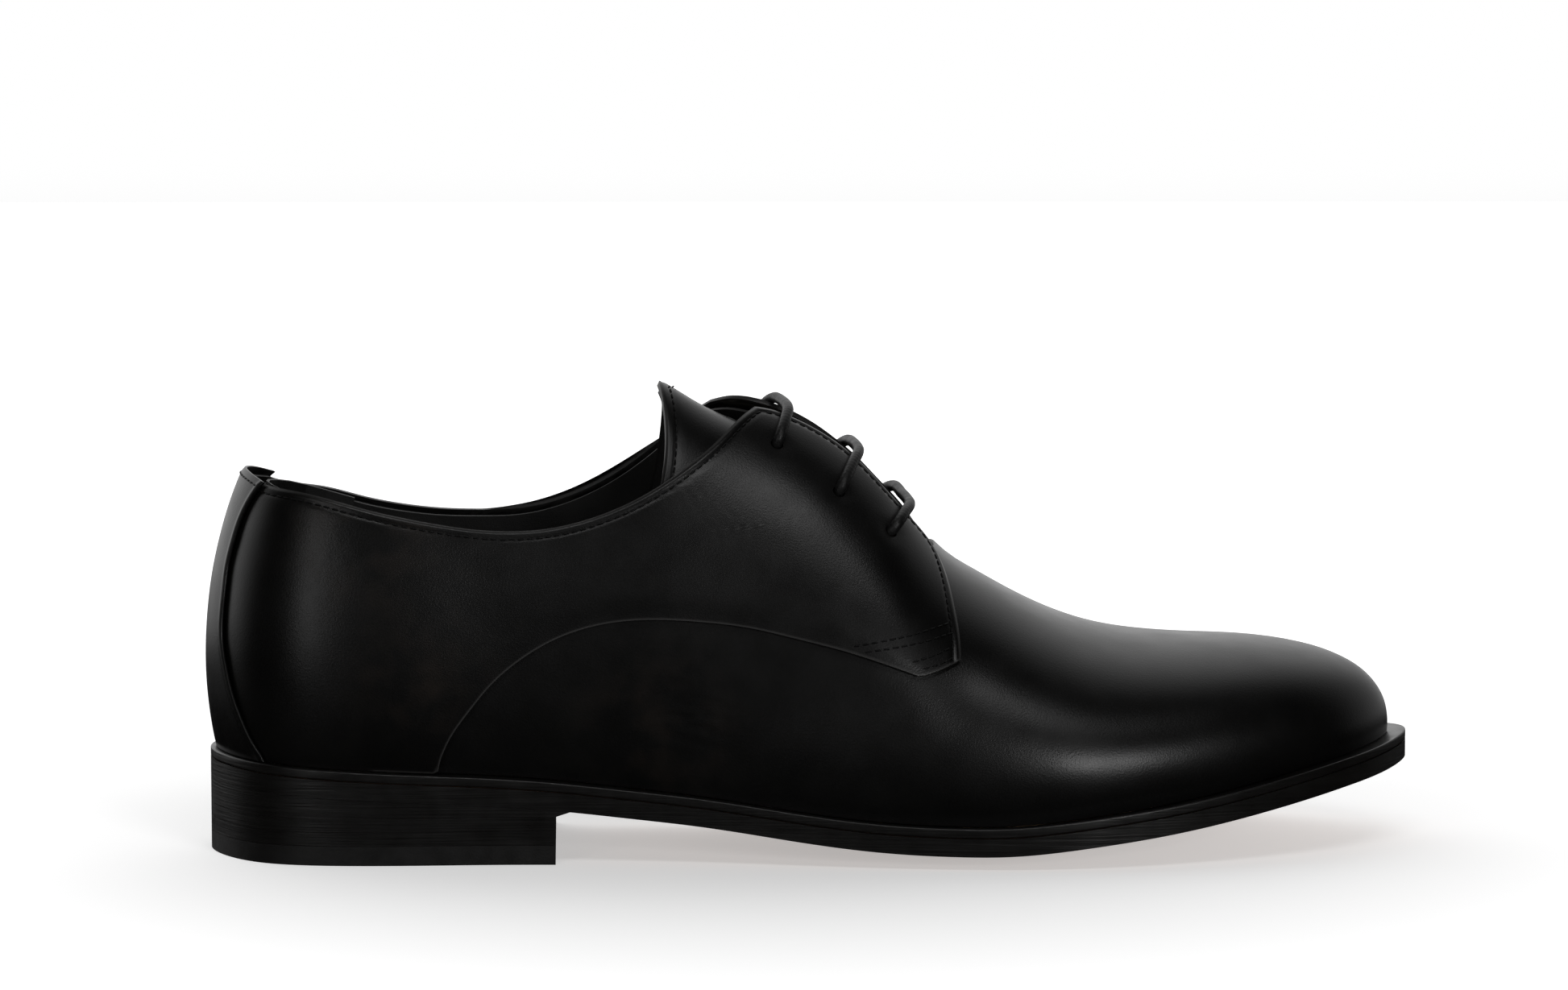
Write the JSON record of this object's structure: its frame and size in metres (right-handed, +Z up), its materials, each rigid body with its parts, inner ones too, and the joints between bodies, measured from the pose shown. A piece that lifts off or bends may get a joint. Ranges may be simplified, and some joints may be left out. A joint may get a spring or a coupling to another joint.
{
  "type": "leather derby shoe",
  "caption": "Right plain-toe leather derby shoe with open lacing over a tilting tongue, a welted leather sole and a stacked heel.",
  "frame": {"origin": "on the floor under the middle of the shoe's bounding box", "axes": "+X from heel to toe, +Y to the inner (medial) side of this right shoe, +Z up"},
  "size_m": [0.3051, 0.1033, 0.1167],
  "materials": {
    "upper_leather": "black box calf, satin with a fine pebble grain",
    "lining_leather": "matt black lining leather",
    "sole_leather": "blackened, burnished sole edge",
    "bare_leather": "undyed vegetable-tanned board",
    "heel_rubber": "matt black",
    "cork": "granulated cork",
    "stiffener": "resin-stiffened fibre sheet",
    "steel": "plain spring steel",
    "black_eyelet": "black enamelled brass",
    "waxed_cotton": "round braid, waxed",
    "aglet_plastic": "shrunk black film"
  },
  "bodies": {
    "root": {"top_piece": "heel_rubber", "heel_lift_lower": "sole_leather", "heel_lift_upper": "sole_leather", "heel_seat_wedge": "sole_leather", "heel_nail_1": "steel", "heel_nail_2": "steel", "heel_nail_3": "steel", "heel_nail_4": "steel", "heel_nail_5": "steel", "outsole": "sole_leather", "welt": "sole_leather", "bottom_filler": "cork", "shank": "steel", "insole": "bare_leather", "sock_liner": "lining_leather", "vamp": "upper_leather", "vamp_lining": "lining_leather", "toe_puff": "stiffener", "quarter_lateral": "upper_leather", "quarter_medial": "upper_leather", "quarter_lining_lateral": "lining_leather", "quarter_lining_medial": "lining_leather", "facing_stay_lateral": "stiffener", "facing_stay_medial": "stiffener", "heel_counter": "stiffener", "heel_grip": "lining_leather", "back_strip": "upper_leather", "eyelet_lateral_1": "black_eyelet", "eyelet_lateral_2": "black_eyelet", "eyelet_lateral_3": "black_eyelet", "eyelet_medial_1": "black_eyelet", "eyelet_medial_2": "black_eyelet", "eyelet_medial_3": "black_eyelet", "lace": "waxed_cotton", "aglet_lateral": "aglet_plastic", "aglet_medial": "aglet_plastic"},
    "tongue": {"tongue": "upper_leather", "tongue_lining": "lining_leather"}
  },
  "joints": [
    {"name": "tongue_tilt", "type": "hinge", "parent": "root", "child": "tongue", "pos_m": [0.0285, 0, 0.075], "axis": [0, -1, 0], "range_deg": [0, 20]}
  ]
}
